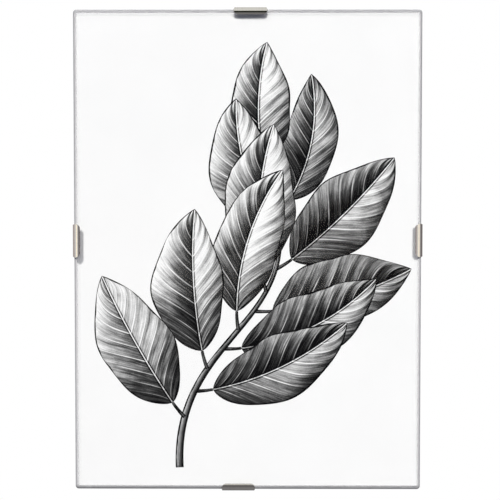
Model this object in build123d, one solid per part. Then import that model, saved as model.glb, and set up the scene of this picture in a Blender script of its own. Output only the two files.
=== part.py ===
"""Clip frame for a 13 x 18 cm picture: glass, print and hardboard held together by four spring clips.

The frame hangs upright: +Z is up, +X is to the right seen from the front, and the glass faces -Y.
The origin is the middle of the hanging hole in the top clip, at the middle of the steel.
All sizes are in millimetres.
"""
import os
from math import cos, radians, sin

from build123d import *

# Glass pane
pane_width = 130.0
pane_height = 180.0
glass_thickness = 2.0
glass_edge_radius = 0.95      # ground edge, rounded towards both faces
glass_corner_ease = 0.25      # the pane's corners in plan are this much rounder than its edges

# Print and hardboard behind the glass
layer_gap = 0.08              # air between two sheets that lie on each other
print_thickness = 0.25
print_margin = 0.8            # the print ends this far inside the pane's edge
board_thickness = 3.0
board_inset = 0.2             # the board ends this far inside the pane's edge
board_corner_radius = 1.0
board_edge_chamfer = 0.25

# Spring clip, a bent strip of steel with radii measured on the middle of the sheet
steel = 0.4
clip_width = 13.0             # across the lip, before its shoulders are rounded
lip_tip_width = 10.9
lip_flare = 0.55              # how far the lip stands out past the web, on each side
lip_shoulder = 0.7            # from the web's inner face in to where the lip is widest
lip_corner_radius = 0.8
lip_tip_slope = 40.0          # degrees between the lip's end and the glass
lip_crown_radius = 1.9
lip_crown_fall = 22.0         # degrees that the crown has turned back when the outer bend begins
lip_bend_radius = 0.7
lip_clearance = 0.06          # between the lip's round end and the glass
heel_radius = 1.2
leg_standoff = 1.8            # room behind the leg for a nail's head
leg_end_width = 9.0
leg_shoulder_radius = 0.9
hook_inset = 17.0             # from the inner face of the web to the middle of the hook
hook_width = 6.0
hook_radius = 0.9
hook_depth = 2.0              # how far the hook reaches into the board
hook_tongue = 2.4             # narrow end of the leg, from its shoulders to the hook

# Keyhole in the clip's leg
hole_inset = 9.0              # from the inner face of the web to the middle of the hole
hole_radius = 2.1
neck_width = 2.0
neck_reach = 2.9              # from the middle of the hole to the middle of the neck's round end

# Slot in the board for a clip's hook
slot_play = 5.3               # how far a clip can be pushed along its edge, each way
slot_floor_clearance = 0.2
slot_inner_clearance = 0.3
slot_outer_clearance = 1.4    # lets the hook swing out when the leg is lifted

# Where the clips sit: one on each edge, clockwise from the top, seen from the front. Each has its push
# along the edge from the middle, also clockwise, and its gap to the glass. The top clip carries the frame,
# so it is drawn out.
clip_names = ["clip_top", "clip_right", "clip_bottom", "clip_left"]
clip_push = {"clip_top": 1.1, "clip_right": -4.1, "clip_bottom": 3.5, "clip_left": 3.9}
clip_seat = {"clip_top": 0.45, "clip_right": 0.08, "clip_bottom": 0.08, "clip_left": 0.08}

# Depths along Y, from the clip's leg at 0 to the glass in front
board_back = -(steel / 2 + leg_standoff)
board_front = board_back - board_thickness
print_back = board_front - layer_gap
print_front = print_back - print_thickness
glass_back = print_front - layer_gap
glass_front = glass_back - glass_thickness
tip_depth = glass_front - lip_clearance - steel / 2

# Lip, from its round end to the web
tip_slope = radians(lip_tip_slope)
crown_fall = radians(lip_crown_fall)
web_middle = steel / 2
lip_reach = lip_crown_radius * (sin(crown_fall) + sin(tip_slope)) + lip_bend_radius * (1 - sin(crown_fall))
tip_middle = web_middle - lip_reach

# The pane's middle, seen from the top clip's hole
pane_x = -clip_push["clip_top"]
pane_z = hole_inset - clip_seat["clip_top"] - pane_height / 2


def sheet(outline, back, thickness):
    """A flat sheet with this outline, standing upright, from its back face forward."""
    return Pos(pane_x, back, pane_z) * extrude(Plane.XZ * outline, amount=thickness)


def glass_pane():
    """The pane, with its two long rims rounded as a grinding wheel leaves them."""
    rounding = min(glass_edge_radius, 0.48 * glass_thickness)
    outline = RectangleRounded(pane_width, pane_height, rounding + glass_corner_ease)
    pane = sheet(outline, glass_back, glass_thickness)
    rims = pane.faces().sort_by(Axis.Y)[0].edges() + pane.faces().sort_by(Axis.Y)[-1].edges()
    return fillet(rims, rounding)


def print_sheet():
    """The paper print, cut square."""
    outline = Rectangle(pane_width - 2 * print_margin, pane_height - 2 * print_margin)
    return sheet(outline, print_back, print_thickness)


def place(solid, name, along=0.0, out=0.0):
    """Move what was made at the middle of the top edge to this clip's edge, pushed along it and out."""
    quarter = clip_names.index(name)
    half = pane_width / 2 if quarter % 2 else pane_height / 2
    return Pos(pane_x, 0, pane_z) * Rot(0, 90 * quarter, 0) * Pos(along, 0, half + out) * solid


def hook_slot(name):
    """Cutter for a routed slot with round ends, in the middle of one edge of the board."""
    inner = -hook_inset - steel / 2 - slot_inner_clearance
    outer = -hook_inset + steel / 2 + slot_outer_clearance
    length = hook_width + 2 * slot_play
    depth = hook_depth + slot_floor_clearance
    outline = Pos(0, (inner + outer) / 2) * SlotOverall(length, outer - inner)
    return place(Pos(0, board_back, 0) * extrude(Plane.XZ * outline, amount=depth), name)


def backing_board():
    """The hardboard, with eased edges and a slot for each clip's hook."""
    width = pane_width - 2 * board_inset
    height = pane_height - 2 * board_inset
    board = sheet(RectangleRounded(width, height, board_corner_radius), board_back, board_thickness)
    rims = board.faces().sort_by(Axis.Y)[0].edges() + board.faces().sort_by(Axis.Y)[-1].edges()
    board = chamfer(rims, board_edge_chamfer)
    for name in clip_names:
        board -= hook_slot(name)
    return board


def strip_profile():
    """Side view of the bent strip, across the edge of the frame: x points outward and y back."""
    crown = JernArc(
        start=(tip_middle, tip_depth),
        tangent=(cos(tip_slope), -sin(tip_slope)),
        radius=lip_crown_radius,
        arc_size=lip_tip_slope + lip_crown_fall,
    )
    bend = JernArc(start=crown @ 1, tangent=crown % 1, radius=lip_bend_radius, arc_size=90 - lip_crown_fall)
    web = Line(bend @ 1, (web_middle, -heel_radius))
    heel = JernArc(start=web @ 1, tangent=(0, 1), radius=heel_radius, arc_size=90)
    leg = Line(heel @ 1, (-hook_inset + hook_radius, 0))
    curl = JernArc(start=leg @ 1, tangent=(-1, 0), radius=hook_radius, arc_size=90)
    hook = Line(curl @ 1, (-hook_inset, board_back - hook_depth + steel / 2))
    middle = Wire([crown, bend, web, heel, leg, curl, hook])
    return make_face(middle.offset_2d(steel / 2, kind=Kind.ARC, side=Side.BOTH))


def lip_outline():
    """Front view of the clip: the web, a lip that stands out past it, and the lip's narrower end."""
    half = clip_width / 2
    half_web = half - lip_flare
    half_tip = lip_tip_width / 2
    end = tip_middle - steel / 2
    outline = Polygon(
        (-half_web, steel * 2), (-half_web, steel / 2), (-half, -lip_shoulder), (-half_tip, end),
        (half_tip, end), (half, -lip_shoulder), (half_web, steel / 2), (half_web, steel * 2), align=None,
    )
    rows = outline.vertices().group_by(Axis.Y)
    return fillet(rows[0] + rows[1], lip_corner_radius)


def leg_outline():
    """Rear view of the clip: the web's width at the heel, a tapered leg, and a narrow tongue for the hook."""
    half = clip_width / 2 - lip_flare
    half_end = leg_end_width / 2
    half_hook = hook_width / 2
    shoulder = -hook_inset + hook_tongue
    outline = Polygon(
        (-half, steel * 2), (-half, -heel_radius), (-half_end, shoulder), (-half_hook, shoulder),
        (-half_hook, -hook_inset - steel), (half_hook, -hook_inset - steel), (half_hook, shoulder),
        (half_end, shoulder), (half, -heel_radius), (half, steel * 2), align=None,
    )
    shoulders = outline.vertices().group_by(Axis.Y)[1]
    return fillet(shoulders, min(leg_shoulder_radius, 0.45 * (half_end - half_hook)))


def keyhole():
    """Round hole for a nail's head, with a neck towards the outer edge that takes its shank."""
    neck = Pos(0, neck_reach / 2) * Rot(0, 0, 90) * SlotCenterToCenter(neck_reach, neck_width)
    return Pos(0, -hole_inset) * (Circle(hole_radius) + neck)


def spring_clip():
    """One clip at the middle of the top edge: the bent strip, trimmed in front and rear view."""
    across = Plane(origin=(0, 0, 0), x_dir=(0, 0, 1), z_dir=(-1, 0, 0))
    strip = extrude(across * strip_profile(), amount=clip_width / 2, both=True)
    split = (board_back + glass_front) / 2
    reach = split - tip_depth + lip_crown_radius
    front = Pos(0, split, 0) * extrude(Plane.XZ * lip_outline(), amount=reach)
    rear = Pos(0, split, 0) * extrude(Plane.XZ * leg_outline(), amount=split - steel)
    clip = strip & (front + rear)
    return clip - extrude(Plane.XZ * keyhole(), amount=steel, both=True)


os.makedirs("parts", exist_ok=True)
nodes = {"glass_pane": glass_pane(), "print_sheet": print_sheet(), "backing_board": backing_board()}
for clip_name in clip_names:
    nodes[clip_name] = place(spring_clip(), clip_name, clip_push[clip_name], clip_seat[clip_name])
for node_name, solid in nodes.items():
    export_step(solid, f"parts/{node_name}.step")
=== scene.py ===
"""Looks of a clip frame: a glass pane, a print and a hardboard back, held together by four spring clips.

The file is laid out as an add-on and is run as a script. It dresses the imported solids, bends the clips anew
from flat strip so that their edges are rounded, lays a printed design on the paper and sets the stage. All
is in metres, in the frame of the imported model: +Z is up, and the glass faces -Y.
"""
from math import cos, pi, radians, sin, tan

import bpy
import numpy as np
from bpy.props import FloatProperty, FloatVectorProperty, IntProperty, PointerProperty
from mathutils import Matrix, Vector


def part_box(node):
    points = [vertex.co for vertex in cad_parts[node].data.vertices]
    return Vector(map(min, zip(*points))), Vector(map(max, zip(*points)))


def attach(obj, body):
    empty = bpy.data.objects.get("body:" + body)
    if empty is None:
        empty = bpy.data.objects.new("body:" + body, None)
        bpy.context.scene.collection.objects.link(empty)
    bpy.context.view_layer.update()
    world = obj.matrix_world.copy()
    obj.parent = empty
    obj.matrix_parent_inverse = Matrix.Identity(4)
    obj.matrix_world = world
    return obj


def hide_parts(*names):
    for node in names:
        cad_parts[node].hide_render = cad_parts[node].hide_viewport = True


bl_info = {
    "name": "Clip frame",
    "version": (1, 0, 0),
    "blender": (4, 5, 0),
    "location": "View3D > Sidebar > Clip frame",
    "description": "Dresses a clip frame: spring clips, glass, print and hardboard",
    "category": "Object",
}

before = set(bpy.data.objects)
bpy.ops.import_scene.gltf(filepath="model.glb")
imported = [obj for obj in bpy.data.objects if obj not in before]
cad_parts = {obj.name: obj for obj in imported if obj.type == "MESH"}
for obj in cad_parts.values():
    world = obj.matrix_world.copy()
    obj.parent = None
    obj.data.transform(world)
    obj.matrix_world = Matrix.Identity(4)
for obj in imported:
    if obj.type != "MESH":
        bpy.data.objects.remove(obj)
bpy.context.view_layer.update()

MM = 0.001
WHITE = (1.0, 1.0, 1.0)
glass_low, glass_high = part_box("glass_pane")
paper_low, paper_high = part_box("print_sheet")
board_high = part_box("backing_board")[1]
pane_middle = (glass_low + glass_high) / 2

# The clips in clockwise order from the top edge, seen from the front, with the bodies that carry them
CLIP_BODIES = {
    "clip_top": "top_clip",
    "clip_right": "right_clip",
    "clip_bottom": "bottom_clip",
    "clip_left": "left_clip",
}

# Side veins on each half of a leaf, and the share of its length that each one climbs towards the margin
VEINS = 9.0
VEIN_SLANT = 0.24

# Cards that the clips mirror: where their middle is (1 at the pane's top, -1 at its foot), the degrees of
# azimuth and of elevation that they cover, their distance, the share that fades out at each rim, their glow
CARDS = {
    "top_card": (1, (-35.0, 35.0), (-37.0, 3.5), 0.10, 0.08, (0.02, 0.022, 0.014)),
    "bottom_card": (-1, (-35.0, 35.0), (-10.0, 42.0), 0.10, 0.10, (0.19, 0.18, 0.19)),
    "bright_card": (0, (-9.0, 11.0), (-6.2, -0.8), 1.50, 0.15, (1.95, 1.7, 1.42)),
    "low_card": (0, (-180.0, 180.0), (-90.0, -16.0), 0.36, 0.05, (0.29, 0.285, 0.30)),
    "right_card": (0, (13.0, 130.0), (-30.0, 30.0), 1.60, 0.25, (0.26, 0.235, 0.255)),
    "left_card": (0, (-130.0, -22.0), (-30.0, 30.0), 1.60, 0.25, (0.74, 0.665, 0.69)),
    "far_card": (0, (-86.0, -50.0), (-30.0, 30.0), 1.50, 0.20, (0.41, 0.355, 0.37)),
    "rear_card": (0, (95.0, 265.0), (-30.0, 30.0), 1.60, 0.20, (0.72, 0.72, 0.72)),
}


def length(name, millimetres, description):
    """A property that holds a length, with its default given in millimetres."""
    return FloatProperty(
        name=name, description=description, default=millimetres * MM, min=0.0, unit="LENGTH", precision=5
    )


def angle(name, degrees, description):
    """A property that holds an angle, with its default given in degrees."""
    return FloatProperty(name=name, description=description, default=radians(degrees), subtype="ANGLE")


def share(name, value, description):
    """A property that holds a number from 0 to 1."""
    return FloatProperty(
        name=name, description=description, default=value, min=0.0, max=1.0, subtype="FACTOR"
    )


def colour(name, value, description):
    """A property that holds a linear colour."""
    return FloatVectorProperty(
        name=name, description=description, default=value, size=3, min=0.0, max=1.0, subtype="COLOR"
    )


def strength(name, watts, description):
    """A property that holds the light of a lamp, in watts for each square metre that faces it."""
    return FloatProperty(name=name, description=description, default=watts, min=0.0)


class ClipSizes(bpy.types.PropertyGroup):
    """The bent strip that every clip is made from; radii are on the middle of the sheet."""

    steel: length("Sheet", 0.4, "Thickness of the spring steel")
    width: length("Lip width", 13.0, "Width across the lip's shoulders before they are rounded")
    tip_width: length("Lip end", 10.9, "Width of the lip at its end on the glass")
    lip_flare: length("Lip flare", 0.55, "How far the lip stands out past the web, on each side")
    lip_shoulder: length("Lip shoulder", 0.7, "From the web's inner face in to where the lip is widest")
    lip_softness: length("Lip softness", 0.17, "How softly the lip's shoulders are rounded")
    tip_corner: length("Lip corner", 0.8, "Radius of the lip's two corners in front view")
    tip_clearance: length("Lip clearance", 0.06, "Air between the lip's round end and the glass")
    tip_slope: angle("Lip slope", 40.0, "Angle between the lip's end and the glass")
    crown_radius: length("Crown radius", 1.9, "Radius of the lip's crown")
    crown_fall: angle("Crown fall", 22.0, "How far the crown turns back before the outer bend")
    bend_radius: length("Bend radius", 0.7, "Radius of the bend between lip and web")
    heel_radius: length("Heel radius", 1.2, "Radius of the bend between web and leg")
    leg_end_width: length("Leg end", 9.0, "Width of the leg where it narrows to the hook")
    hook_inset: length("Hook inset", 17.0, "From the web's inner face to the middle of the hook")
    hook_width: length("Hook width", 6.0, "Width of the hook and its tongue")
    hook_radius: length("Hook radius", 0.9, "Radius of the bend between leg and hook")
    hook_depth: length("Hook depth", 2.0, "How far the hook reaches into the board")
    hook_tongue: length("Hook tongue", 2.4, "Length of the tongue from the leg's shoulders to the hook")
    shoulder_radius: length("Shoulder radius", 0.675, "Radius of the leg's shoulders")
    hole_inset: length("Hole inset", 9.0, "From the web's inner face to the middle of the hanging hole")
    hole_radius: length("Hole radius", 2.1, "Radius of the hanging hole")
    neck_width: length("Neck width", 2.0, "Width of the keyhole's neck")
    neck_reach: length("Neck reach", 2.9, "From the middle of the hole to the middle of the neck's end")
    edge_round: length("Edge round", 0.09, "How far the sheared edges are rounded")
    metal: colour("Nickel", (0.592, 0.575, 0.528), "Colour of the plating")
    worn: colour("Worn edge", (0.70, 0.68, 0.64), "Colour of the plating where its edges are worn bright")
    sheared: colour("Sheared edge", (0.42, 0.40, 0.38), "Colour of the bare steel on the cut edges")
    roughness: share("Roughness", 0.10, "Roughness of the plating between its rolling marks")


class GlassFinish(bpy.types.PropertyGroup):
    """The pane's clear faces and ground edge."""

    edge_band: length("Ground edge", 1.0, "Width of the ground band, seen from the front")
    edge_fade: length("Edge fade", 0.75, "Width over which the ground band thins out into the clear face")
    edge_colour: colour("Edge colour", (0.45, 0.45, 0.465), "Colour of the ground glass along the edge")
    # The core colour is partly the glass's own green seen edge-on and partly a painted reflection of the dark
    # board inside the pane.
    core_colour: colour("Core colour", (0.27, 0.31, 0.31), "Colour that shows in the middle of the edge")
    # The next two settings paint light: the inner side of the left and right bands pales towards near-white,
    # so these edges read lighter than the top and bottom bands.
    pale_colour: colour("Pale colour", (0.9, 0.9, 0.9), "Colour that the band pales to at its inner side")
    thin: share("Thin sides", 0.55, "How much it pales there, on the left and right edges")
    # The next two settings paint shade on the lower edge: they darken the ground band's colour near the
    # pane's foot, standing in for the shade its underside gets under light from above.
    foot_shade_colour: colour("Dust", (0.10, 0.10, 0.10), "Colour of the dust in the lower edge's pores")
    foot_shade: share("Dust share", 0.45, "How much of the lower edge the dust covers")
    edge_roughness: share("Edge roughness", 0.36, "Roughness of the ground edge")
    edge_shadow: share("Edge shadow", 0.12, "How much of the ground band stands in the print's light")
    index: FloatProperty(name="Index", description="Refractive index of the glass", default=1.5, min=1.0)
    coating: share("Coating", 0.09, "Share of its mirror image that the coated face keeps, straight on")
    tint: colour("Tint", (0.996, 0.998, 0.998), "What one face of the pane lets through")


class PrintDesign(bpy.types.PropertyGroup):
    """The paper and the leafy spray that is printed on it."""

    paper: colour("Paper", (0.90, 0.90, 0.90), "Colour of the bare paper")
    ink: colour("Ink", (0.004, 0.004, 0.0045), "Colour of the ink where it is thickest")
    leaf_count: IntProperty(name="Leaves", description="Number of leaves on the spray", default=11, min=2)
    leaf_length: length("Leaf length", 56.0, "Length of the largest leaf")
    leaf_width: length("Leaf width", 26.0, "Width of the largest leaf")
    stalk: length("Stalk", 7.0, "Length of a leaf's stalk")
    stem_width: length("Stem width", 3.0, "Width of the stem where it is cut")
    line: length("Line", 0.5, "Width of the drawn outlines")
    first_layer: length("First layer", 0.008, "Air between the paper and the first layer of ink")
    layer_step: length("Layer step", 0.0028, "Distance from one layer of ink to the next")
    seed: IntProperty(name="Seed", description="Seed of the small differences between leaves", default=4)


class BoardFinish(bpy.types.PropertyGroup):
    """The hardboard's pressed face and cut edges."""

    brown: colour("Brown", (0.205, 0.098, 0.043), "Main colour of the pressed fibres")
    dark: colour("Dark fibres", (0.085, 0.036, 0.015), "Colour of the darkest fibres")
    light: colour("Light fibres", (0.33, 0.185, 0.09), "Colour of the lightest fibres and the cut core")
    screen_pitch: length("Screen pitch", 1.5, "Distance between the marks of the pressing screen")


class StageSetting(bpy.types.PropertyGroup):
    """Camera, lamps and floor."""

    distance: length("Camera distance", 700.0, "From the middle of the pane to the camera")
    azimuth: angle("Camera azimuth", 0.576, "Turn of the camera towards +X")
    elevation: angle("Camera elevation", 3.57, "Height of the camera above the horizon")
    lens: FloatProperty(
        name="Lens", description="Focal length on a 36 mm sensor", default=134.4, min=1.0, unit="CAMERA"
    )
    aim_right: length("Aim right", 0.9, "How far right of the pane's middle the camera looks")
    aim_up: length("Aim up", 0.39, "How far above the pane's middle the camera looks")
    lamp_spread: angle("Lamp spread", 10.5, "Angle that each lamp covers, seen from the pane")
    lamp_distance: length("Lamp distance", 30000.0, "From the middle of the pane to each lamp")
    top_height: angle("Top lamp height", 31.5, "Height of the lamp in the middle above the horizon")
    left_turn: angle("Left lamp turn", -24.0, "Turn of the left lamp away from the middle")
    left_height: angle("Left lamp height", 39.0, "Height of the left lamp above the horizon")
    right_turn: angle("Right lamp turn", 20.5, "Turn of the right lamp away from the middle")
    right_height: angle("Right lamp height", 22.0, "Height of the right lamp above the horizon")
    rear_turn: angle("Rear lamp turn", 155.0, "Turn of the rear lamp away from the middle")
    rear_height: angle("Rear lamp height", 36.0, "Height of the rear lamp above the horizon")
    pane_light: strength("Light on the pane", 3.02, "What the three lamps in front give the pane together")
    rear_light: strength("Rear lamp", 2.2, "Light of the lamp behind the frame")
    top_share: share("Top share", 0.80, "The top lamp's share of the light at the pane's upper edge")
    foot_share: share("Foot share", 0.08, "The top lamp's share of the light at the pane's lower edge")
    side_share: share("Side share", 0.72, "The nearer lamp's share of what the side lamps give an edge")
    lamp_colour: colour("Lamp colour", (1.0, 0.985, 0.95), "Colour of the lamps")
    sky: share("Sky", 0.15, "Strength of the surroundings as a light")
    sky_colour: colour("Sky colour", (0.66, 0.72, 1.0), "Colour of the surroundings as a light")
    floor_drop: length("Floor drop", 400.0, "From the middle of the pane down to the floor")
    floor_half: length("Floor half", 1400.0, "Half the side of the square floor")
    floor: colour("Floor", (0.13, 0.13, 0.155), "Colour of the floor")
    floor_glow: share("Floor glow", 0.77, "How much the floor is lightened for the camera")
    floor_tint: colour("Floor tint", (1.0, 1.0, 0.965), "Colour of that lightening")


# Meshes


def put(name, data):
    """A new object in the scene, for a mesh, lamp or camera."""
    made = bpy.data.objects.new(name, data)
    bpy.context.scene.collection.objects.link(made)
    return made


def grid_faces(rows, columns, first=0):
    """Corners of the quads of a grid of points that is stored row by row."""
    corner = np.arange(rows - 1)[:, None] * columns + np.arange(columns - 1)[None, :] + first
    return np.stack([corner, corner + 1, corner + columns + 1, corner + columns], axis=-1).reshape(-1, 4)


def make_piece(name, points, faces, uv, attributes=None):
    """A mesh object at the origin from arrays of points, quads, texture coordinates and point attributes."""
    mesh = bpy.data.meshes.new(name)
    mesh.from_pydata(points, [], faces)
    corner_points = np.empty(len(mesh.loops), dtype=np.int32)
    mesh.loops.foreach_get("vertex_index", corner_points)
    layer = mesh.uv_layers.new(name="UVMap")
    layer.data.foreach_set("uv", uv[corner_points].astype(np.float32).ravel())
    for key, values in (attributes or {}).items():
        layer = mesh.attributes.new(key, "FLOAT", "POINT")
        layer.data.foreach_set("value", values.astype(np.float32))
    mesh.polygons.foreach_set("use_smooth", np.ones(len(mesh.polygons), dtype=bool))
    mesh.update()
    return put(name, mesh)


def weld(points, faces, *columns):
    """Merge points within a ten-thousandth of a millimetre, and keep one row of each other array."""
    keys = np.round(points / (0.0001 * MM)).astype(np.int64)
    _, keep, renumber = np.unique(keys, axis=0, return_index=True, return_inverse=True)
    return points[keep], renumber.reshape(-1)[faces], *(column[keep] for column in columns)


# Materials


class Value:
    """An output of a node. Sums, differences, products and quotients of values come from Math nodes."""

    def __init__(self, tree, socket):
        self.tree = tree
        self.socket = socket

    def __add__(self, other):
        return calc("ADD", self, other)

    def __sub__(self, other):
        return calc("SUBTRACT", self, other)

    def __rsub__(self, other):
        return calc("SUBTRACT", other, self)

    def __mul__(self, other):
        return calc("MULTIPLY", self, other)

    def __truediv__(self, other):
        return calc("DIVIDE", self, other)

    def __abs__(self):
        return calc("ABSOLUTE", self)


def wire(tree, socket, value):
    """Set an input to a number or colour, or link it to a value."""
    if isinstance(value, Value):
        tree.links.new(value.socket, socket)
        return
    wants_alpha = socket.type == "RGBA" and len(value) == 3
    socket.default_value = (*value, 1.0) if wants_alpha else value


def add(tree, kind, output, inputs=None, **settings):
    """One output of a new node with these settings, and with its inputs given by name or number."""
    node = tree.nodes.new(kind)
    for key, value in settings.items():
        setattr(node, key, value)
    for key, value in (inputs or {}).items():
        wire(tree, node.inputs[key], value)
    return Value(tree, node.outputs[output])


def calc(operation, *values):
    """The result of a Math node."""
    tree = next(value.tree for value in values if isinstance(value, Value))
    return add(tree, "ShaderNodeMath", 0, dict(enumerate(values)), operation=operation)


def smooth(value, low, high, start=0.0, end=1.0):
    """A value that eases from start to end while the input goes from low to high."""
    inputs = {"Value": value, "From Min": low, "From Max": high, "To Min": start, "To Max": end}
    return add(value.tree, "ShaderNodeMapRange", "Result", inputs, interpolation_type="SMOOTHSTEP")


def split(vector):
    """The X, Y and Z of a vector."""
    node = vector.tree.nodes.new("ShaderNodeSeparateXYZ")
    wire(vector.tree, node.inputs[0], vector)
    return [Value(vector.tree, socket) for socket in node.outputs]


def join(x, y, z=0.0):
    """A vector from its X, Y and Z."""
    return add(x.tree, "ShaderNodeCombineXYZ", 0, {0: x, 1: y, 2: z})


def stretch(vector, scale):
    """Coordinates with each axis scaled."""
    return add(vector.tree, "ShaderNodeMapping", 0, {"Vector": vector, "Scale": scale})


def noise(vector, scale, detail=2.0, roughness=0.5, distortion=0.0):
    """Smooth noise from 0 to 1."""
    inputs = {"Vector": vector, "Scale": scale, "Detail": detail}
    inputs |= {"Roughness": roughness, "Distortion": distortion}
    return add(vector.tree, "ShaderNodeTexNoise", "Fac", inputs)


def coordinates(tree, name):
    """One output of the Texture Coordinate node."""
    return add(tree, "ShaderNodeTexCoord", name)


def geometry(tree, name):
    """One output of the Geometry node."""
    return add(tree, "ShaderNodeNewGeometry", name)


def light_path(tree, name):
    """One output of the Light Path node."""
    return add(tree, "ShaderNodeLightPath", name)


def attribute(tree, name):
    """A point attribute of the mesh."""
    return add(tree, "ShaderNodeAttribute", "Fac", attribute_name=name)


def mix_colour(factor, first, second):
    """The first colour where the factor is 0 and the second where it is 1, by the node's colour sockets."""
    return add(factor.tree, "ShaderNodeMix", 2, {0: factor, 6: first, 7: second}, data_type="RGBA")


def bump(height, distance, strength):
    """A normal that leans with the height."""
    inputs = {"Height": height, "Distance": distance, "Strength": strength}
    return add(height.tree, "ShaderNodeBump", "Normal", inputs)


def principled(tree, **sockets):
    """A Principled shader; keys are its socket names with spaces written as underscores."""
    inputs = {key.replace("_", " "): value for key, value in sockets.items()}
    return add(tree, "ShaderNodeBsdfPrincipled", "BSDF", inputs)


def transparent(tree, tint=WHITE):
    """A shader that lets rays through."""
    return add(tree, "ShaderNodeBsdfTransparent", 0, {"Color": tint})


def emission(tree, tint, brightness):
    """A shader that glows."""
    return add(tree, "ShaderNodeEmission", 0, {"Color": tint, "Strength": brightness})


def mix_shader(factor, first, second):
    """The first shader where the factor is 0 and the second where it is 1."""
    return add(factor.tree, "ShaderNodeMixShader", 0, {0: factor, 1: first, 2: second})


def empty_tree(owner):
    """The node tree of a material, lamp or world, with nothing in it."""
    owner.use_nodes = True
    owner.node_tree.nodes.clear()
    return owner.node_tree


def show(owner, shader, output="ShaderNodeOutputMaterial"):
    """Link a shader to a new output node, and give its owner back."""
    wire(owner.node_tree, owner.node_tree.nodes.new(output).inputs["Surface"], shader)
    return owner


def new_material(name):
    """A material with its empty tree."""
    material = bpy.data.materials.new(name)
    return material, empty_tree(material)


def dress(piece, *materials):
    """Give a piece these materials in place of what it has."""
    piece.data.materials.clear()
    for material in materials:
        piece.data.materials.append(material)


# Spring clips


class Strip:
    """The middle line of a clip's strip in side view: x points out of the frame and y to the back.

    The line is a chain of straight and round stretches. Its heading grows evenly along a round one, so a
    point at distance d into a stretch of curvature k that starts with heading h is its start plus
    (sin(h + k d) - sin h, cos h - cos(h + k d)) / k, or plus d (cos h, sin h) where the stretch is straight.
    """

    def __init__(self, sizes):
        tip_reach = sizes.crown_radius * (sin(sizes.crown_fall) + sin(sizes.tip_slope))
        bend_reach = sizes.bend_radius * (1 - sin(sizes.crown_fall))
        tip_depth = glass_low.y - sizes.tip_clearance - sizes.steel / 2
        crown_drop = sizes.crown_radius * (cos(sizes.crown_fall) - cos(sizes.tip_slope))
        bend_depth = tip_depth - crown_drop + sizes.bend_radius * cos(sizes.crown_fall)
        self.start = np.array([sizes.steel / 2 - tip_reach - bend_reach, tip_depth])
        web = -sizes.heel_radius - bend_depth
        leg = sizes.hook_inset - sizes.hook_radius + sizes.steel / 2 - sizes.heel_radius
        hook = -sizes.hook_radius - (board_high.y - sizes.hook_depth)
        turns = [
            (sizes.crown_radius, sizes.tip_slope + sizes.crown_fall),
            (sizes.bend_radius, pi / 2 - sizes.crown_fall),
            (0.0, web),
            (sizes.heel_radius, pi / 2),
            (0.0, leg),
            (sizes.hook_radius, pi / 2),
            (0.0, hook),
        ]
        lengths = np.array([radius * turn if radius else turn for radius, turn in turns])
        self.bends = np.array([1 / radius if radius else 0.0 for radius, turn in turns])
        self.knots = np.concatenate([[0.0], np.cumsum(lengths)])
        self.headings = -sizes.tip_slope + np.concatenate([[0.0], np.cumsum(lengths * self.bends)])
        steps = self.advance(self.headings[:-1], self.bends, lengths)
        self.points = self.start + np.concatenate([[[0.0, 0.0]], np.cumsum(steps, axis=0)])

    @staticmethod
    def advance(heading, bend, distance):
        """How far a stretch goes in x and y."""
        curved = bend > 0
        radius = 1 / np.where(curved, bend, 1.0)
        end = heading + bend * distance
        x = np.where(curved, radius * (np.sin(end) - np.sin(heading)), distance * np.cos(heading))
        y = np.where(curved, radius * (np.cos(heading) - np.cos(end)), distance * np.sin(heading))
        return np.stack([x, y], axis=-1)

    def at(self, distance):
        """Points at these distances along the strip."""
        part = np.clip(np.searchsorted(self.knots, distance, side="right") - 1, 0, len(self.bends) - 1)
        inside = distance - self.knots[part]
        return self.points[part] + self.advance(self.headings[part], self.bends[part], inside)


def half_width(sizes, strip, distance):
    """Half the strip's width at these distances from the lip's end.

    The lip widens in a straight line to its shoulders and narrows in another to the web. The smaller of the
    two lines counts, with a soft corner, and a circle rounds the corners of the lip's end. The leg narrows
    in a straight line to its own shoulders, which fall to the hook's tongue in half a wave of a cosine.
    """
    out = strip.at(distance)[:, 0]
    half, half_tip, half_web = sizes.width / 2, sizes.tip_width / 2, sizes.width / 2 - sizes.lip_flare
    end = strip.start[0] - sizes.steel / 2
    past = out + sizes.lip_shoulder
    widening = half + past * (half - half_tip) / (-sizes.lip_shoulder - end)
    narrowing = half - past * sizes.lip_flare / (sizes.lip_shoulder + sizes.steel / 2)
    soft = sizes.lip_softness
    lip = -soft * np.logaddexp(-widening / soft, -narrowing / soft)
    corner = np.clip(sizes.tip_corner - distance, 0.0, None)
    lip -= sizes.tip_corner - np.sqrt(sizes.tip_corner**2 - corner**2)
    shoulder = -sizes.hook_inset + sizes.hook_tongue
    leg = np.interp(out, [shoulder, -sizes.heel_radius], [sizes.leg_end_width / 2, half_web])
    fall = np.clip((shoulder + sizes.shoulder_radius - out) / (2 * sizes.shoulder_radius), 0.0, 1.0)
    leg -= (leg - sizes.hook_width / 2) * (1 - np.cos(pi * fall)) / 2
    return np.where(distance < strip.knots[3], lip, leg)


def keyhole_radius(sizes, turn):
    """Distance from the hole's middle to the keyhole's outline, at this turn from the direction of the neck.

    It is the larger of the hole's radius and the neck's: along the neck's straight side half its width over
    the sine of the turn, and at its round end the far crossing of a ray with the end's circle.
    """
    half, reach = sizes.neck_width / 2, sizes.neck_reach
    sine = np.maximum(np.abs(np.sin(turn)), 1e-9)
    side = half / sine
    cap = reach * np.cos(turn) + np.sqrt(np.maximum(half**2 - (reach * sine) ** 2, 0.0))
    neck = np.where(np.tan(np.abs(turn)) < half / reach, cap, side)
    return np.where(np.abs(turn) < pi / 2, np.maximum(sizes.hole_radius, neck), sizes.hole_radius)


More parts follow.
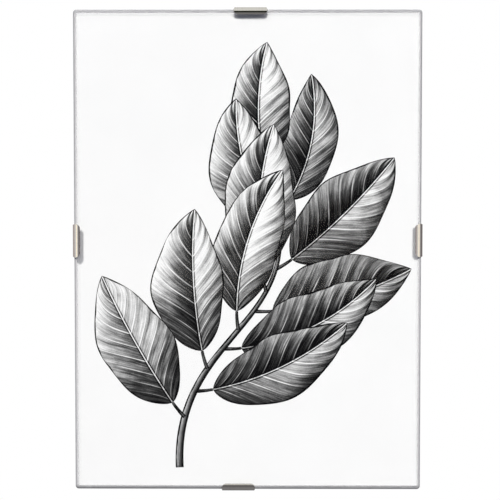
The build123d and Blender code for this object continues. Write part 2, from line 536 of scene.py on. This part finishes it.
def spaced(stops, counts):
    """Distances from the first stop to the last, with this many even steps from each stop to the next."""
    runs = [np.linspace(a, b, n, endpoint=False) for a, b, n in zip(stops, stops[1:], counts)]
    return np.concatenate([*runs, stops[-1:]])


def flat_clip(sizes, strip):
    """The clip before bending: points (distance along the strip, distance across it) and quads.

    Two grids of rows across the strip leave out a stretch round the keyhole. That stretch is a third grid,
    whose rows run from the keyhole's outline straight to the edge of the stretch.
    """
    columns, corner_rows, side_rows, ring_columns = 45, 9, 40, 9
    across = np.linspace(-1.0, 1.0, columns)
    hole = strip.knots[4] + strip.points[4][0] + sizes.hole_inset
    near = hole - sizes.neck_reach - 1.1 * sizes.neck_width
    far = hole + 1.7 * sizes.hole_radius
    shoulders = strip.knots[5] - 2.6 * sizes.hook_radius
    corner = sizes.tip_corner * (1 - np.cos(np.linspace(0.0, pi / 2, corner_rows)))[:-1]
    lip_to_hole = spaced([sizes.tip_corner, *strip.knots[1:5], near], (14, 14, 8, 18, 4))
    hole_to_hook = spaced([far, shoulders, *strip.knots[5:]], (5, 18, 14, 4))
    points, faces, count = [], [], 0
    for rows in (np.concatenate([corner, lip_to_hole]), hole_to_hook):
        half = half_width(sizes, strip, rows)
        grid = np.stack(np.broadcast_arrays(rows[:, None], half[:, None] * across), axis=-1)
        points.append(grid.reshape(-1, 2))
        faces.append(grid_faces(len(rows), columns, count))
        count += len(points[-1])
    side = np.linspace(near, far, side_rows)
    half = half_width(sizes, strip, side)
    edge = np.concatenate([
        np.stack([np.full(columns, near), half[0] * across], axis=-1)[:-1],
        np.stack([side, half], axis=-1)[:-1],
        np.stack([np.full(columns, far), -half[-1] * across], axis=-1)[:-1],
        np.stack([side, -half], axis=-1)[::-1],
    ])
    middle = np.array([hole, 0.0])
    turn = np.arctan2(edge[:, 1], hole - edge[:, 0])
    ray = np.stack([-np.cos(turn), np.sin(turn)], axis=-1)
    outline = middle + keyhole_radius(sizes, turn)[:, None] * ray
    blend = np.linspace(0.0, 1.0, ring_columns)[None, :, None]
    ring = outline[:, None, :] * (1 - blend) + edge[:, None, :] * blend
    points.append(ring.reshape(-1, 2))
    faces.append(grid_faces(len(edge), ring_columns, count))
    return np.concatenate(points), np.concatenate(faces)


def bend_clip(name, quarter, sizes, materials):
    """One clip: the flat strip carried along its side view, turned to its edge, thickened and rounded."""
    strip = Strip(sizes)
    flat, faces = flat_clip(sizes, strip)
    low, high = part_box(name)
    outward = np.round([sin(quarter * pi / 2), 0.0, cos(quarter * pi / 2)])
    along = np.round([cos(quarter * pi / 2), 0.0, -sin(quarter * pi / 2)])
    middle = np.array((low + high) / 2)
    reach = np.abs(outward) @ np.array(high - low) / 2 - sizes.steel
    origin = (middle + outward * reach) * [1.0, 0.0, 1.0]
    side = strip.at(flat[:, 0])
    points = origin + side[:, :1] * outward + side[:, 1:] * [0.0, 1.0, 0.0] + flat[:, 1:] * along
    points, faces, flat = weld(points, faces, flat)
    edge = half_width(sizes, strip, flat[:, 0]) - np.abs(flat[:, 1])
    piece = make_piece(name + "_bent", points, faces, flat / MM, {"edge": edge})
    dress(piece, *materials)
    wall = piece.modifiers.new("Sheet thickness", "SOLIDIFY")
    wall.thickness = sizes.steel
    wall.offset = 0.0
    wall.use_even_offset = True
    wall.material_offset_rim = 1
    rounding = piece.modifiers.new("Edge round", "BEVEL")
    rounding.width = sizes.edge_round
    rounding.segments = 3
    rounding.limit_method = "ANGLE"
    rounding.angle_limit = radians(50.0)
    shading = piece.modifiers.new("Flat faces", "WEIGHTED_NORMAL")
    shading.keep_sharp = True
    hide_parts(name)
    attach(piece, CLIP_BODIES[name])


def nickel_plate(sizes):
    """Bright nickel on cold-rolled strip: rolling marks along it, a faint cloudiness and worn edges."""
    material, tree = new_material("nickel_plate")
    flat = coordinates(tree, "UV")
    fine = noise(stretch(flat, (0.12, 9.0, 1.0)), 1.0, 4.0, 0.6)
    broad = noise(stretch(flat, (0.05, 2.6, 1.0)), 1.0, 3.0, 0.6)
    hairs = noise(stretch(flat, (0.5, 40.0, 1.0)), 1.0)
    clouds = noise(coordinates(tree, "Object"), 420.0, 3.0, 0.6)
    marks = (fine + broad) * 0.5
    shade = mix_colour(smooth(marks, 0.36, 0.64), sizes.metal * 0.93, sizes.metal * 1.07)
    shade = mix_colour(smooth(clouds, 0.35, 0.8, 0.0, 0.5), shade, sizes.metal * 1.12)
    worn = smooth(attribute(tree, "edge"), 0.08 * MM, 0.45 * MM, 1.0, 0.0) * smooth(clouds, 0.35, 0.65)
    shade = mix_colour(worn, shade, sizes.worn)
    rough = (marks - 0.5) * 0.14 + sizes.roughness + clouds * 0.04 + worn * 0.10
    lean = bump(fine * 0.6 + hairs * 0.4, 0.001 * MM, 0.4)
    return show(material, principled(tree, Base_Color=shade, Metallic=1.0, Roughness=rough, Normal=lean))


def sheared_steel(sizes):
    """The cut edge of the strip: duller bare steel with marks across its thickness."""
    material, tree = new_material("sheared_steel")
    tear = noise(coordinates(tree, "Object"), 5200.0, 3.0, 0.6)
    shade = mix_colour(tear, sizes.sheared * 0.6, sizes.sheared)
    lean = bump(tear, 0.01 * MM, 0.5)
    rough = tear * 0.2 + 0.3
    return show(material, principled(tree, Base_Color=shade, Metallic=1.0, Roughness=rough, Normal=lean))


# Glass


def float_glass(finish):
    """Clear coated faces that let light through and mirror a little, and a ground, frosted band on the edge.

    The coating works best on light that comes straight on, and hardly at all on light that grazes the pane.
    The band is where a point lies less than its width inside the pane's outline, measured in X or in Z. It
    lets most of the light through, so it throws hardly any shadow or glow on the print.
    """
    material, tree = new_material("float_glass")
    band, half_fade = finish.edge_band, finish.edge_fade / 2
    place = coordinates(tree, "Object")
    x, y, z = split(place)
    from_side = (glass_high.x - glass_low.x) / 2 - abs(x - pane_middle.x)
    from_end = (glass_high.z - glass_low.z) / 2 - abs(z - pane_middle.z)
    grit = noise(place, 2600.0, 3.0, 0.65)
    wheel = noise(join((x + z) * 260.0, y * 9000.0), 1.0, 3.0, 0.6)
    marks = wheel * 0.6 + grit * 0.4
    edge = calc("MINIMUM", from_side, from_end) + (grit - 0.5) * (0.12 * MM)
    passing = calc("MAXIMUM", light_path(tree, "Is Shadow Ray"), light_path(tree, "Is Diffuse Ray"))
    ground = smooth(edge, band - half_fade, band + half_fade, 1.0, 0.0)
    ground = ground * smooth(passing, 0.0, 1.0, 1.0, finish.edge_shadow)
    facing = add(tree, "ShaderNodeLayerWeight", "Facing", {"Blend": 0.5})
    mirror = add(tree, "ShaderNodeFresnel", 0, {"IOR": finish.index}) * (1.0 - geometry(tree, "Backfacing"))
    mirror = mirror * smooth(facing, 0.05, 0.5, finish.coating, 1.0)
    shine = add(tree, "ShaderNodeBsdfGlossy", 0, {"Color": WHITE, "Roughness": 0.015})
    face = mix_shader(mirror, transparent(tree, finish.tint), shine)
    shade = mix_colour(smooth(marks, 0.32, 0.68), finish.edge_colour * 0.78, finish.edge_colour * 1.16)
    # The middle of the edge's thickness is darkened towards the core colour: partly the glass's own green,
    # partly a painted reflection of the dark board.
    core = smooth(abs(y - pane_middle.y), 0.1 * MM, 0.8 * MM, 0.5, 0.0)
    shade = mix_colour(core, shade, finish.core_colour)
    # Painted light: the left and right bands pale towards near-white at their inner side, so these two edges
    # read lighter than the top and bottom ones.
    thin = smooth(from_side, 0.4 * band, band, 0.0, finish.thin) * smooth(from_end, band, 2.0 * band)
    shade = mix_colour(thin, shade, finish.pale_colour)
    # Painted shade: the ground band is darkened near the pane's lower edge, standing in for the shade that
    # falls on its underside, and broken up by the grinding marks.
    foot_shade_mask = smooth(z - glass_low.z, 0.6 * band, 2.0 * band, finish.foot_shade, 0.0)
    foot_shade_mask = foot_shade_mask * smooth(marks, 0.3, 0.6, 1.0, 0.7)
    shade = mix_colour(foot_shade_mask, shade, finish.foot_shade_colour)
    rough = smooth(marks, 0.3, 0.7, finish.edge_roughness, 0.16)
    frosted = principled(tree, Base_Color=shade, Roughness=rough, Normal=bump(marks, 0.02 * MM, 0.6))
    return show(material, mix_shader(ground, face, frosted))


# Print


def curve(points, count):
    """A cubic curve through the first and last of four points, drawn towards the two between.

    A point is the four points weighted by (1-t)^3, 3t(1-t)^2, 3t^2(1-t) and t^3.
    """
    t = np.linspace(0.0, 1.0, count)
    weights = np.stack([(1 - t) ** 3, 3 * t * (1 - t) ** 2, 3 * t**2 * (1 - t), t**3], axis=-1)
    return weights @ np.array(points, dtype=float)


def arc(base, heading, turn, distance, count):
    """A path from a base whose heading turns evenly, and which is this long."""
    way = heading + turn * np.linspace(0.0, 1.0, count)
    step = np.stack([np.cos(way), np.sin(way)], axis=-1)
    middle = (step[1:] + step[:-1]) / 2 * distance / (count - 1)
    return base + np.concatenate([[[0.0, 0.0]], np.cumsum(middle, axis=0)])


def ribbon(path, left, right, columns):
    """A flat surface carried along a path: path(u) plus its left normal times that side's width times v.

    Returns the points, and how far each is from the path and from the nearer margin.
    """
    tangent = np.gradient(path, axis=0)
    tangent /= np.linalg.norm(tangent, axis=1, keepdims=True)
    normal = np.stack([-tangent[:, 1], tangent[:, 0]], axis=-1)
    v = np.linspace(-1.0, 1.0, columns)
    width = np.where(v > 0, left[:, None], right[:, None])
    across = width * v
    return path[:, None, :] + normal[:, None, :] * across[..., None], across, width - np.abs(across)


def lit(points, height):
    """How light a relief over the paper would be: the cosine between its normal and the light.

    The normal is the cross product of the surface's derivatives along and across.
    """
    relief = np.concatenate([points, height[..., None]], axis=-1)
    normal = np.cross(np.gradient(relief, axis=0), np.gradient(relief, axis=1))
    normal *= np.sign(normal[..., 2:])
    normal /= np.linalg.norm(normal, axis=-1, keepdims=True)
    light = np.array([-0.55, 0.55, 0.63])
    return normal @ (light / np.linalg.norm(light))


class Ink:
    """Layers of ink, collected as grids and joined into one piece."""

    def __init__(self, design):
        self.design = design
        self.layers = []
        self.count = 0

    def lay(self, points, across, rim, tone, veins, seed):
        """Add one grid on the next layer in front of the paper."""
        rows, columns = across.shape
        front = paper_low.y - self.design.first_layer - len(self.layers) * self.design.layer_step
        depth = np.full((rows, columns, 1), front)
        u, v = np.meshgrid(np.linspace(0, 1, rows), np.linspace(0, 1, columns), indexing="ij")
        self.layers.append({
            "points": np.concatenate([points[..., :1], depth, points[..., 1:]], axis=-1).reshape(-1, 3),
            "faces": grid_faces(rows, columns, self.count),
            "uv": np.stack([u, v], axis=-1).reshape(-1, 2),
            "tone": tone.ravel(),
            "rim": rim.ravel(),
            "rib": np.abs(across).ravel(),
            "veins": np.full(tone.size, veins),
            "seed": np.full(tone.size, seed),
        })
        self.count += rows * columns

    def leaf(self, base, heading, turn, size, breadth, lean, darkness, seed):
        """A pointed leaf: widest below its middle, folded along its midrib, rippled between side veins."""
        rows, columns = 72, 33
        u = np.linspace(0.0, 1.0, rows)
        path = arc(base, heading, turn, size, rows)
        swell = u**0.72 * (1 - u) ** 0.9
        swell = swell / swell.max() + 0.004
        wave = 1 + 0.045 * np.sin(13.0 * u + seed)
        left = breadth / 2 * swell * wave * (1 + lean)
        right = breadth / 2 * swell * wave[::-1] * (1 - lean)
        points, across, rim = ribbon(path, left, right, columns)
        u = u[:, None]
        v = np.abs(np.linspace(-1.0, 1.0, columns))[None, :]
        ripple = np.cos(2 * pi * VEINS * (u - VEIN_SLANT * v)) * v * (1.15 - v)
        fold = 0.55 * np.abs(across) - 0.42 * np.abs(across * v)
        tip = 0.10 * size * (u - 0.45) ** 2
        light = lit(points, fold + 0.35 * MM * ripple - tip)
        root = 0.42 + 0.58 * np.clip(u / 0.55, 0.0, 1.0) ** 0.8
        tone = np.clip((light - 0.12) * 1.25, 0.0, 1.0) ** 1.1 * root * (1 - darkness)
        self.lay(points, across, rim, tone, 1.0, seed)

    def stem(self, path, start, end, darkness, seed):
        """A round twig that tapers evenly: its relief is half a circle."""
        width = np.linspace(start, end, len(path)) / 2
        points, across, rim = ribbon(path, width, width, 9)
        height = np.sqrt(np.maximum((1.05 * width[:, None]) ** 2 - across**2, 0.0))
        tone = np.clip(lit(points, height), 0.0, 1.0) * (1 - darkness)
        self.lay(points, across, rim, tone, 0.0, seed)

    def piece(self, name):
        """All the layers as one mesh."""
        joined = {key: np.concatenate([layer[key] for layer in self.layers]) for key in self.layers[0]}
        mesh = [joined.pop(key) for key in ("points", "faces", "uv")]
        return make_piece(name, *mesh, joined)


def leaf_spray(design):
    """A stem that rises in an S from the foot of the sheet, with leaves to its left and right in turn."""
    ink = Ink(design)
    random = np.random.default_rng(design.seed)
    size = np.array([paper_high.x - paper_low.x, paper_high.z - paper_low.z])
    middle = np.array([pane_middle.x, pane_middle.z])
    path = middle + size * curve([(-0.20, -0.46), (-0.22, -0.16), (0.22, -0.16), (0.06, 0.15)], 140)
    count = design.leaf_count
    first_leaf, stalk_turn = 0.14, 0.2
    places = np.linspace(first_leaf, 1.0, count)
    order = sorted(range(count), key=lambda i: (i % 2 == 0, -i))
    for step, i in enumerate(order):
        if step == count // 2:
            ink.stem(path, design.stem_width, 0.4 * design.stem_width, 0.35, 0.5)
        at = min(int(places[i] * (len(path) - 1)), len(path) - 2)
        way = path[at + 1] - path[at]
        side = 1 if i % 2 == 0 else -1
        last = i == count - 1
        spread = 0.05 if last else radians(66 - 22 * places[i] + 8 * random.uniform(-1, 1))
        heading = np.arctan2(way[1], way[0]) + side * spread
        scale = 0.68 + 0.32 * sin(pi * (0.25 + 0.6 * places[i])) + 0.05 * random.uniform(-1, 1)
        stalk = arc(path[at], heading, -stalk_turn * side, design.stalk, 12)
        ink.stem(stalk, 0.5 * design.stem_width, 0.35 * design.stem_width, 0.5, i + 0.3)
        ink.leaf(
            stalk[-1], heading - stalk_turn * side, -side * random.uniform(0.15, 0.75),
            design.leaf_length * scale, design.leaf_width * scale * random.uniform(0.88, 1.08),
            0.22 * random.uniform(-1, 1), 0.0 if i % 2 == 0 else 0.25, float(i),
        )
    return ink.piece("print_ink")


def paper_tooth(place):
    """The fine grain of the paper, which also shows in the ink."""
    return noise(place, 2300.0, 2.0, 0.6)


def ink_wash(design):
    """Ink brushed on paper: streaks along the side veins, pale veins and midrib, a dark outline, and tooth.

    A side vein is a line of constant p = u - slant |v|; the nearest one is found from the fraction of n p.
    """
    material, tree = new_material("ink_wash")
    u, v, _ = split(coordinates(tree, "UV"))
    spread = abs(v * 2.0 - 1.0)
    origin = u - spread * VEIN_SLANT
    place = coordinates(tree, "Object")
    brush = noise(join(origin * 42.0, spread, attribute(tree, "seed") * 3.7), 1.6, 4.0, 0.6, 0.4)
    wash = noise(place, 85.0, 3.0, 0.55, 0.6)
    tooth = paper_tooth(place)
    tone = attribute(tree, "tone") + (brush - 0.5) * 0.85 + (wash - 0.5) * 0.45 + (tooth - 0.5) * 0.16
    fraction = calc("PINGPONG", origin * VEINS, 0.5)
    vein = smooth(fraction, 0.0, 0.07, 1.0, 0.0) * smooth(spread, 0.35, 0.95, 0.42, 0.0)
    rib = attribute(tree, "rib")
    flank = smooth(rib, 0.25 * MM, 0.9 * MM, 0.45, 0.0)
    core = smooth(rib, 0.10 * MM, 0.30 * MM, 0.85, 0.0)
    tone = tone + (vein - flank + core) * attribute(tree, "veins")
    pen = smooth(noise(place, 160.0), 0.25, 0.75, 0.35, 1.5) * design.line
    tone = tone * smooth(attribute(tree, "rim") / pen, 0.5, 1.3)
    ramp = tree.nodes.new("ShaderNodeValToRGB")
    wire(tree, ramp.inputs["Fac"], tone)
    stops = ramp.color_ramp.elements
    for position, bare in ((0.0, 0.0), (0.08, 0.0), (0.32, 0.055), (0.5, 0.25), (0.7, 0.66), (0.88, 1.0)):
        stop = stops[0] if position == 0.0 else stops.new(position)
        stop.position = position
        stop.color = (*(design.ink + (design.paper - design.ink) * bare), 1.0)
    stops.remove(stops[-1])
    return show(material, principled(
        tree, Base_Color=Value(tree, ramp.outputs["Color"]), Roughness=0.78, Specular_IOR_Level=0.02,
        Normal=bump(tooth, 0.01 * MM, 0.4),
    ))


def print_paper(design):
    """Matt coated paper: almost white, with a faint cloud and a fine tooth."""
    material, tree = new_material("print_paper")
    place = coordinates(tree, "Object")
    shade = mix_colour(smooth(noise(place, 60.0), 0.3, 0.7), design.paper * 0.988, design.paper)
    lean = bump(paper_tooth(place), 0.01 * MM, 0.4)
    return show(material, principled(
        tree, Base_Color=shade, Roughness=0.72, Specular_IOR_Level=0.1, Normal=lean
    ))


# Hardboard


def hardboard(finish):
    """Pressed wood fibre: brown with dark and pale fibres, the mark of the pressing screen on its back face.

    The screen's height is the product of a cosine in X and one in Z. Cut edges and slots show the paler
    core, whose fibres lie in thin layers with crumbs between them.
    """
    material, tree = new_material("hardboard")
    place = coordinates(tree, "Object")
    x, y, z = split(place)
    pressed = smooth(split(coordinates(tree, "Normal"))[1], 0.6, 0.9)
    fibres = noise(stretch(place, (260.0, 900.0, 1100.0)), 1.0, 4.0, 0.65, 1.2)
    cross = noise(stretch(place, (1100.0, 900.0, 260.0)), 1.0, 4.0, 0.65, 1.2)
    patches = noise(place, 55.0, 3.0, 0.6)
    weave = (fibres + cross) * 0.5
    shade = mix_colour(smooth(weave, 0.33, 0.5), finish.dark, finish.brown)
    shade = mix_colour(smooth(weave, 0.53, 0.72), shade, finish.light)
    shade = mix_colour(smooth(patches, 0.3, 0.75, 0.0, 0.35), shade, finish.dark)
    layers = noise(stretch(place, (140.0, 2300.0, 140.0)), 1.0, 3.0, 0.6, 0.9)
    crumbs = noise(place, 1700.0, 4.0, 0.7)
    core = layers * 0.55 + crumbs * 0.45
    cut = mix_colour(smooth(core, 0.36, 0.5), finish.dark, finish.brown)
    cut = mix_colour(smooth(core, 0.46, 0.58), cut, finish.light)
    deep = smooth(y, board_high.y - 0.4 * MM, board_high.y - 0.05 * MM, 1.0, 0.0)
    shade = mix_colour(deep, shade, cut)
    turn = 2 * pi / finish.screen_pitch
    screen = calc("COSINE", x * turn) * calc("COSINE", z * turn) * (pressed * 0.5)
    # Painted shade: the hollows of the screen marks are darkened in the colour, where the relief would hold
    # shade.
    shade = mix_colour(smooth(screen, -0.5, 0.1, 0.35, 0.0), shade, finish.dark)
    height = screen + weave * 0.8 + core * deep * 1.4
    return show(material, principled(
        tree, Base_Color=shade, Specular_IOR_Level=0.3, Roughness=weave * 0.25 + 0.45,
        Normal=bump(height, 0.12 * MM, 0.7),
    ))


# Stage


def direction(azimuth, elevation):
    """Unit vectors to places on the sky; azimuth 0 is in front of the glass and grows towards +X."""
    x = np.cos(elevation) * np.sin(azimuth)
    y = -np.cos(elevation) * np.cos(azimuth)
    return np.stack(np.broadcast_arrays(x, y, np.sin(elevation)), axis=-1)


def reflected_card(name, height, azimuths, elevations, distance, soft, glow):
    """A card that only mirrors see: a patch of a ball round a middle, on a grid of azimuth and elevation.

    Towards its rim the card fades out, by a quarter wave of a squared sine over the soft share of the grid
    in each direction.
    """
    rows = 33
    steps = np.linspace(0.0, 1.0, rows)
    azimuth = np.radians(np.linspace(*azimuths, rows))[:, None]
    elevation = np.radians(np.linspace(*elevations, rows))[None, :]
    half_pane = (glass_high.z - glass_low.z) / 2
    middle = np.array([pane_middle.x, glass_low.y, pane_middle.z + height * half_pane])
    points = middle + distance * direction(azimuth, elevation).reshape(-1, 3)
    rim = np.sin(pi / 2 * np.clip(np.minimum(steps, 1 - steps) / soft, 0.0, 1.0)) ** 2
    fade = (rim[:, None] * rim[None, :]).ravel()
    card = make_piece(name, points, grid_faces(rows, rows), np.zeros((len(points), 2)), {"fade": fade})
    material, tree = new_material(name)
    light = emission(tree, [part / max(glow) for part in glow], max(glow))
    show(material, mix_shader(attribute(tree, "fade"), transparent(tree), light))
    material.cycles.emission_sampling = "NONE"
    dress(card, material)
    for ray in ("camera", "diffuse", "shadow", "transmission"):
        setattr(card, "visible_" + ray, False)


def lamp(name, azimuth, elevation, strength, setting):
    """A large round lamp far away, which mirrors don't see.

    Its power is the light it gives to each square metre that faces it, times the area of a ball that has its
    distance as the radius.
    """
    light = bpy.data.lights.new(name, "POINT")
    light.shadow_soft_size = setting.lamp_distance * tan(setting.lamp_spread / 2)
    light.use_soft_falloff = True
    light.energy = strength * 4 * pi * setting.lamp_distance**2
    light.color = setting.lamp_colour
    made = put(name, light)
    made.location = pane_middle + Vector(direction(azimuth, elevation)) * setting.lamp_distance
    made.visible_glossy = False
    return light


def graded_lamp(side, azimuth, elevation, setting):
    """One of the three lamps in front, which share the pane between them so that it is evenly lit.

    A filter in the lamp gives each point of the pane its share. The top lamp has most of the light at the
    upper edge. What it leaves belongs mainly to the left lamp at the left edge, and to the right lamp at
    the right one. The three shares add up to 1. A ray's place on the pane is where it starts plus its slope
    times the depth; it is measured from the pane's middle, with 1 at the edge.
    """
    facing = cos(azimuth) * cos(elevation)
    light = lamp(side + "_lamp", azimuth, elevation, setting.pane_light / facing, setting)
    tree = empty_tree(light)
    ray_x, ray_y, ray_z = split(coordinates(tree, "Normal"))
    start_x, start_y, start_z = split(geometry(tree, "Position"))
    depth = glass_low.y - start_y
    x = (ray_x / ray_y * depth + start_x - pane_middle.x) / (glass_high.x - pane_middle.x)
    z = (ray_z / ray_y * depth + start_z - pane_middle.z) / (glass_high.z - pane_middle.z)
    top = smooth(z, 0.2, 0.95, setting.foot_share, setting.top_share)
    rest = 1.0 - top
    left = rest * smooth(x, -1.0, 1.0, setting.side_share, 1 - setting.side_share)
    shares = {"top": top, "left": left, "right": rest - left}
    show(light, emission(tree, WHITE, shares[side]), "ShaderNodeOutputLight")


def white_world(setting):
    """White to the camera, to mirrors and to glass, and a weaker light for everything else."""
    world = bpy.data.worlds.new("white_surroundings")
    tree = empty_tree(world)
    seen = light_path(tree, "Is Camera Ray") + light_path(tree, "Is Glossy Ray")
    seen = calc("MINIMUM", seen + light_path(tree, "Is Transmission Ray"), 1.0)
    shade = mix_colour(seen, setting.sky_colour, WHITE)
    brightness = smooth(seen, 0.0, 1.0, setting.sky, 1.0)
    sky = add(tree, "ShaderNodeBackground", 0, {"Color": shade, "Strength": brightness})
    bpy.context.scene.world = show(world, sky, "ShaderNodeOutputWorld")


def floor_sheet(setting):
    """A pale square floor well below the frame, with a soft cloud in its colour.

    To the camera it is lightened, and it melts into the white surroundings towards its rim. From below it is
    clear.
    """
    half, rows = setting.floor_half, 9
    middle = pane_middle - Vector((0.0, 0.0, setting.floor_drop))
    side = np.linspace(-half, half, rows)
    x, y = np.meshgrid(side, side)
    points = np.array(middle) + np.stack([x, y, np.zeros_like(x)], axis=-1).reshape(-1, 3)
    floor = make_piece("floor", points, grid_faces(rows, rows), np.zeros((len(points), 2)))
    material, tree = new_material("floor_paint")
    place = coordinates(tree, "Object")
    shade = mix_colour(noise(place, 3.0), setting.floor * 0.97, setting.floor)
    seen = light_path(tree, "Is Camera Ray")
    painted = principled(
        tree, Base_Color=shade, Roughness=0.9, Emission_Color=setting.floor_tint,
        Emission_Strength=seen * setting.floor_glow,
    )
    away = add(tree, "ShaderNodeVectorMath", "Value", {0: place, 1: middle}, operation="DISTANCE")
    melt = smooth(away, 0.3 * half, 0.95 * half) * seen
    above = mix_shader(melt, painted, emission(tree, WHITE, 1.0))
    show(material, mix_shader(geometry(tree, "Backfacing"), above, transparent(tree)))
    material.cycles.emission_sampling = "NONE"
    dress(floor, material)


def camera_at(setting):
    """The camera at the photograph's viewing angle, aimed a little beside the pane's middle."""
    data = bpy.data.cameras.new("camera")
    data.lens = setting.lens
    data.sensor_width = 36.0
    made = put("camera", data)
    made.location = pane_middle + Vector(direction(setting.azimuth, setting.elevation)) * setting.distance
    aim = pane_middle + Vector((setting.aim_right, 0.0, setting.aim_up))
    made.rotation_euler = (aim - made.location).to_track_quat("-Z", "Y").to_euler()
    bpy.context.scene.camera = made


# Operators


class CLIPFRAME_OT_clips(bpy.types.Operator):
    """Bend the four spring clips and plate them"""

    bl_idname = "clip_frame.clips"
    bl_label = "Spring clips"

    def execute(self, context):
        sizes = context.scene.clip_frame_clips
        materials = nickel_plate(sizes), sheared_steel(sizes)
        for quarter, name in enumerate(CLIP_BODIES):
            bend_clip(name, quarter, sizes, materials)
        return {"FINISHED"}


class CLIPFRAME_OT_glass(bpy.types.Operator):
    """Give the pane its clear faces and ground edge"""

    bl_idname = "clip_frame.glass"
    bl_label = "Glass pane"

    def execute(self, context):
        dress(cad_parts["glass_pane"], float_glass(context.scene.clip_frame_glass))
        return {"FINISHED"}


class CLIPFRAME_OT_print(bpy.types.Operator):
    """Finish the paper and lay the printed spray on it"""

    bl_idname = "clip_frame.print"
    bl_label = "Print"

    def execute(self, context):
        design = context.scene.clip_frame_print
        dress(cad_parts["print_sheet"], print_paper(design))
        ink = leaf_spray(design)
        dress(ink, ink_wash(design))
        skin = ink.modifiers.new("Ink thickness", "SOLIDIFY")
        skin.thickness = 0.4 * design.layer_step
        skin.offset = 0.0
        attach(ink, "panel")
        return {"FINISHED"}


class CLIPFRAME_OT_board(bpy.types.Operator):
    """Give the hardboard its fibres and screen marks"""

    bl_idname = "clip_frame.board"
    bl_label = "Backing board"

    def execute(self, context):
        dress(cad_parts["backing_board"], hardboard(context.scene.clip_frame_board))
        return {"FINISHED"}


class CLIPFRAME_OT_stage(bpy.types.Operator):
    """Set the floor, the surroundings, the lamps and the camera"""

    bl_idname = "clip_frame.stage"
    bl_label = "Stage"

    def execute(self, context):
        setting = context.scene.clip_frame_stage
        context.scene.view_settings.view_transform = "Standard"
        white_world(setting)
        floor_sheet(setting)
        graded_lamp("top", 0.0, setting.top_height, setting)
        graded_lamp("left", setting.left_turn, setting.left_height, setting)
        graded_lamp("right", setting.right_turn, setting.right_height, setting)
        lamp("rear_lamp", setting.rear_turn, setting.rear_height, setting.rear_light, setting)
        for name, values in CARDS.items():
            reflected_card(name, *values)
        camera_at(setting)
        return {"FINISHED"}


STEPS = (
    ("clip_frame_clips", ClipSizes, CLIPFRAME_OT_clips),
    ("clip_frame_glass", GlassFinish, CLIPFRAME_OT_glass),
    ("clip_frame_print", PrintDesign, CLIPFRAME_OT_print),
    ("clip_frame_board", BoardFinish, CLIPFRAME_OT_board),
    ("clip_frame_stage", StageSetting, CLIPFRAME_OT_stage),
)


class CLIPFRAME_PT_sidebar(bpy.types.Panel):
    """The steps of the clip frame, with the sizes and colours that each one reads"""

    bl_idname = "CLIPFRAME_PT_sidebar"
    bl_label = "Clip frame"
    bl_space_type = "VIEW_3D"
    bl_region_type = "UI"
    bl_category = "Clip frame"

    def draw(self, context):
        for key, group, step in STEPS:
            box = self.layout.box()
            box.operator(step.bl_idname)
            for name in group.__annotations__:
                box.prop(getattr(context.scene, key), name)


def register():
    """Add the classes and the settings that the scene carries."""
    for key, group, step in STEPS:
        bpy.utils.register_class(group)
        setattr(bpy.types.Scene, key, PointerProperty(type=group))
        bpy.utils.register_class(step)
    bpy.utils.register_class(CLIPFRAME_PT_sidebar)


def unregister():
    """Take the classes and settings out again."""
    bpy.utils.unregister_class(CLIPFRAME_PT_sidebar)
    for key, group, step in reversed(STEPS):
        bpy.utils.unregister_class(step)
        delattr(bpy.types.Scene, key)
        bpy.utils.unregister_class(group)


def main():
    """Run every step in order."""
    register()
    bpy.ops.clip_frame.clips()
    bpy.ops.clip_frame.glass()
    bpy.ops.clip_frame.print()
    bpy.ops.clip_frame.board()
    bpy.ops.clip_frame.stage()


if __name__ == "__main__":
    main()
